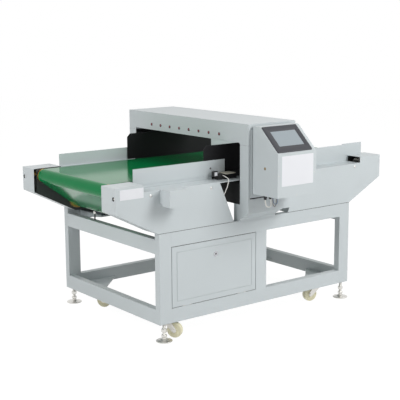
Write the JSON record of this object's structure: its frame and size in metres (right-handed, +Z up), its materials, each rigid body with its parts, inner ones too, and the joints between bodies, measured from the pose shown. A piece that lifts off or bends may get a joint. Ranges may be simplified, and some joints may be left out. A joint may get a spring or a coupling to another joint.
{
  "type": "conveyor metal detector",
  "caption": "Belt conveyor on a tube frame that carries goods through a metal detection head with a tunnel, side guards, a touch control box, levelling feet and swivel casters.",
  "frame": {"origin": "centre of the bounding box on the floor", "axes": "+X along the belt from infeed to outfeed, +Y to the rear, away from the control box, +Z up"},
  "size_m": [1.73, 1.208, 1.011],
  "materials": {
    "frame_paint": "satin",
    "head_paint": "satin",
    "black_paint": "matte",
    "belt_green": "gloss",
    "drive_belt_black": "matte",
    "zinc_steel": "satin",
    "roller_aluminium": "satin",
    "motor_paint": "satin",
    "lamp_red": "gloss",
    "bezel_plastic": "satin",
    "screen_glass": "gloss",
    "gland_plastic": "matte",
    "cable_white": "matte",
    "sensor_cap_plastic": "matte",
    "lock_chrome": "polished",
    "cabinet_parts": "matte",
    "caster_cream": "satin"
  },
  "bodies": {
    "base": {"bed_side_rails": "frame_paint", "belt_sensor": "gland_plastic", "cabinet_components": "cabinet_parts", "cable_glands": "gland_plastic", "caster_stems": "zinc_steel", "control_box": "frame_paint", "control_box_bracket": "frame_paint", "control_box_cover": "frame_paint", "control_cable": "cable_white", "conveyor_belt": "belt_green", "conveyor_side_plates": "frame_paint", "door_hinges": "zinc_steel", "drive_belt": "drive_belt_black", "electrical_cabinet": "frame_paint", "encoder_housing": "head_paint", "flange_bearings": "zinc_steel", "frame_legs": "frame_paint", "frame_plates": "frame_paint", "frame_rails": "frame_paint", "gearmotor": "motor_paint", "head_columns": "head_paint", "head_lower_housing": "head_paint", "head_pedestals": "head_paint", "head_upper_housing": "head_paint", "indicator_lamps": "lamp_red", "infeed_covers": "frame_paint", "motor_mount": "frame_paint", "outfeed_covers": "frame_paint", "sensor_bracket": "sensor_cap_plastic", "sensor_cable": "cable_white", "side_guards": "frame_paint", "side_strips": "black_paint", "slider_bed": "frame_paint", "support_stud": "zinc_steel", "take_up_guides": "frame_paint", "touch_panel_bezel": "bezel_plastic", "touch_screen": "screen_glass", "tunnel_guide_plates": "black_paint"},
    "drive_drum": {"drive_drum": "zinc_steel"},
    "outfeed_pulley": {"outfeed_pulley": "roller_aluminium"},
    "snub_roller": {"snub_roller": "zinc_steel"},
    "return_roller": {"return_roller": "zinc_steel"},
    "motor_shaft": {"motor_sheave": "zinc_steel"},
    "take_up": {"take_up_carriages": "zinc_steel"},
    "infeed_pulley": {"infeed_pulley": "roller_aluminium"},
    "door": {"cabinet_door": "frame_paint", "cam_lock_body": "lock_chrome"},
    "cam": {"cam_lock_plug": "lock_chrome"},
    "caster_front_left": {"caster_fork_front_left": "zinc_steel"},
    "wheel_front_left": {"caster_wheel_front_left": "caster_cream"},
    "foot_front_left": {"foot_front_left": "zinc_steel"},
    "caster_front_right": {"caster_fork_front_right": "zinc_steel"},
    "wheel_front_right": {"caster_wheel_front_right": "caster_cream"},
    "foot_front_right": {"foot_front_right": "zinc_steel"},
    "caster_rear_left": {"caster_fork_rear_left": "zinc_steel"},
    "wheel_rear_left": {"caster_wheel_rear_left": "caster_cream"},
    "foot_rear_left": {"foot_rear_left": "zinc_steel"},
    "caster_rear_right": {"caster_fork_rear_right": "zinc_steel"},
    "wheel_rear_right": {"caster_wheel_rear_right": "caster_cream"},
    "foot_rear_right": {"foot_rear_right": "zinc_steel"}
  },
  "joints": [
    {"name": "drum_spin", "type": "hinge", "parent": "base", "child": "drive_drum", "pos_m": [-0.625, 0.093, 0.585], "axis": [0, 1, 0], "continuous": true},
    {"name": "outfeed_pulley_spin", "type": "hinge", "parent": "base", "child": "outfeed_pulley", "pos_m": [0.815, 0.093, 0.731], "axis": [0, 1, 0], "continuous": true},
    {"name": "snub_spin", "type": "hinge", "parent": "base", "child": "snub_roller", "pos_m": [-0.579, 0.093, 0.704], "axis": [0, 1, 0], "continuous": true},
    {"name": "return_spin", "type": "hinge", "parent": "base", "child": "return_roller", "pos_m": [0.64, 0.093, 0.704], "axis": [0, 1, 0], "continuous": true},
    {"name": "motor_spin", "type": "hinge", "parent": "base", "child": "motor_shaft", "pos_m": [-0.486, 0.093, 0.565], "axis": [0, 1, 0], "continuous": true},
    {"name": "take_up_slide", "type": "slide", "parent": "base", "child": "take_up", "axis": [1, 0, 0], "range_m": [0, 0.02]},
    {"name": "infeed_pulley_spin", "type": "hinge", "parent": "take_up", "child": "infeed_pulley", "pos_m": [-0.815, 0.093, 0.731], "axis": [0, 1, 0], "continuous": true},
    {"name": "door_hinge", "type": "hinge", "parent": "base", "child": "door", "pos_m": [-0.2975, -0.3398, 0.1604], "axis": [1, 0, 0], "range_deg": [0, 90]},
    {"name": "cam_turn", "type": "hinge", "parent": "door", "child": "cam", "pos_m": [-0.294, -0.32, 0.3857], "axis": [0, -1, 0], "range_deg": [0, 90]},
    {"name": "swivel_front_left", "type": "hinge", "parent": "base", "child": "caster_front_left", "pos_m": [-0.545, -0.282, 0.09], "axis": [0, 0, 1], "range_deg": [-28, 212]},
    {"name": "roll_front_left", "type": "hinge", "parent": "caster_front_left", "child": "wheel_front_left", "pos_m": [-0.52187, -0.31215, 0.04], "axis": [0.7934, 0.6088, 0], "continuous": true},
    {"name": "level_front_left", "type": "slide", "parent": "base", "child": "foot_front_left", "axis": [0, 0, 1], "range_m": [-0.02, 0.02]},
    {"name": "swivel_front_right", "type": "hinge", "parent": "base", "child": "caster_front_right", "pos_m": [0.447, -0.285, 0.09], "axis": [0, 0, 1], "continuous": true},
    {"name": "roll_front_right", "type": "hinge", "parent": "caster_front_right", "child": "wheel_front_right", "pos_m": [0.41094, -0.273, 0.04], "axis": [-0.3156, -0.9489, 0], "continuous": true},
    {"name": "level_front_right", "type": "slide", "parent": "base", "child": "foot_front_right", "axis": [0, 0, 1], "range_m": [-0.02, 0.02]},
    {"name": "swivel_rear_left", "type": "hinge", "parent": "base", "child": "caster_rear_left", "pos_m": [-0.541, 0.358, 0.09], "axis": [0, 0, 1], "continuous": true},
    {"name": "roll_rear_left", "type": "hinge", "parent": "caster_rear_left", "child": "wheel_rear_left", "pos_m": [-0.51787, 0.32785, 0.04], "axis": [0.7934, 0.6088, 0], "continuous": true},
    {"name": "level_rear_left", "type": "slide", "parent": "base", "child": "foot_rear_left", "axis": [0, 0, 1], "range_m": [-0.02, 0.02]},
    {"name": "swivel_rear_right", "type": "hinge", "parent": "base", "child": "caster_rear_right", "pos_m": [0.541, 0.358, 0.09], "axis": [0, 0, 1], "continuous": true},
    {"name": "roll_rear_right", "type": "hinge", "parent": "caster_rear_right", "child": "wheel_rear_right", "pos_m": [0.56413, 0.32785, 0.04], "axis": [0.7934, 0.6088, 0], "continuous": true},
    {"name": "level_rear_right", "type": "slide", "parent": "base", "child": "foot_rear_right", "axis": [0, 0, 1], "range_m": [-0.02, 0.02]}
  ],
  "couplings": [
    {"joint": "outfeed_pulley_spin", "follows": "drum_spin", "ratio": 0.85294},
    {"joint": "infeed_pulley_spin", "follows": "drum_spin", "ratio": 0.85294},
    {"joint": "snub_spin", "follows": "drum_spin", "ratio": -0.87879},
    {"joint": "return_spin", "follows": "drum_spin", "ratio": -0.87879},
    {"joint": "motor_spin", "follows": "drum_spin", "ratio": 1.2827}
  ]
}
